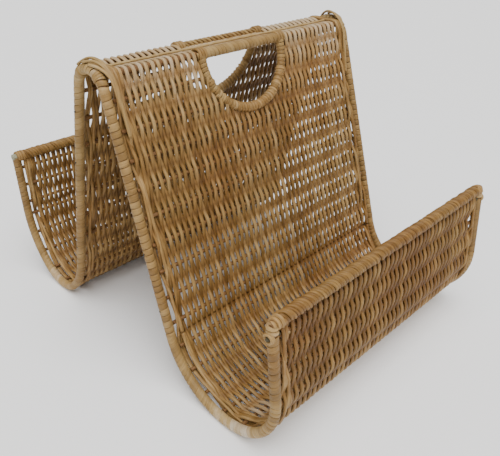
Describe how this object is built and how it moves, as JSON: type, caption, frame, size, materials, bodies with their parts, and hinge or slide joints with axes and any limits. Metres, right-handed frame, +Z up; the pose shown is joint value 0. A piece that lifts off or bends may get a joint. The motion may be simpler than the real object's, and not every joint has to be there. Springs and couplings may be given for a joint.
{
  "type": "magazine rack",
  "caption": "Woven rattan magazine rack: a trough each side of a tall ridge, cane-wound side frames, rolled lip borders and a D-shaped handle hole in each slope.",
  "frame": {"origin": "middle of the bounding box on the surface that the rack stands on", "axes": "+X along the ridge, -Y towards the front trough, +Z up"},
  "size_m": [0.382, 0.4962, 0.3445],
  "materials": {
    "rattan_rod": "satin",
    "flat_cane": "satin",
    "woven_strand": "satin",
    "tack": "darkened"
  },
  "bodies": {
    "root": {"left_frame_rod": "rattan_rod", "left_edge_strands": "woven_strand", "left_cane_wrap_front_lip": "flat_cane", "left_cane_wrap_front_trough": "flat_cane", "left_cane_wrap_front_slope": "flat_cane", "left_cane_wrap_ridge": "flat_cane", "left_cane_wrap_back_slope": "flat_cane", "left_cane_wrap_back_trough": "flat_cane", "left_cane_wrap_back_lip": "flat_cane", "right_frame_rod": "rattan_rod", "right_edge_strands": "woven_strand", "right_cane_wrap_front_lip": "flat_cane", "right_cane_wrap_front_trough": "flat_cane", "right_cane_wrap_front_slope": "flat_cane", "right_cane_wrap_ridge": "flat_cane", "right_cane_wrap_back_slope": "flat_cane", "right_cane_wrap_back_trough": "flat_cane", "right_cane_wrap_back_lip": "flat_cane", "weave_front_lip": "woven_strand", "weave_front_trough": "woven_strand", "weave_front_slope": "woven_strand", "weave_ridge": "woven_strand", "weave_back_slope": "woven_strand", "weave_back_trough": "woven_strand", "weave_back_lip": "woven_strand", "cross_rods_front_lip": "rattan_rod", "cross_rods_front_trough": "rattan_rod", "cross_rods_front_slope": "rattan_rod", "cross_rods_back_slope": "rattan_rod", "cross_rods_back_trough": "rattan_rod", "cross_rods_back_lip": "rattan_rod", "front_ridge_rod": "rattan_rod", "front_grip_wrap": "flat_cane", "front_handle_hoop": "rattan_rod", "front_hoop_wrap": "flat_cane", "front_border_rod": "rattan_rod", "front_border_wrap": "woven_strand", "front_left_corner_binding": "flat_cane", "front_right_corner_binding": "flat_cane", "back_ridge_rod": "rattan_rod", "back_grip_wrap": "flat_cane", "back_handle_hoop": "rattan_rod", "back_hoop_wrap": "flat_cane", "back_border_rod": "rattan_rod", "back_border_wrap": "woven_strand", "back_left_corner_binding": "flat_cane", "back_right_corner_binding": "flat_cane", "wrap_tacks": "tack"}
  },
  "joints": []
}
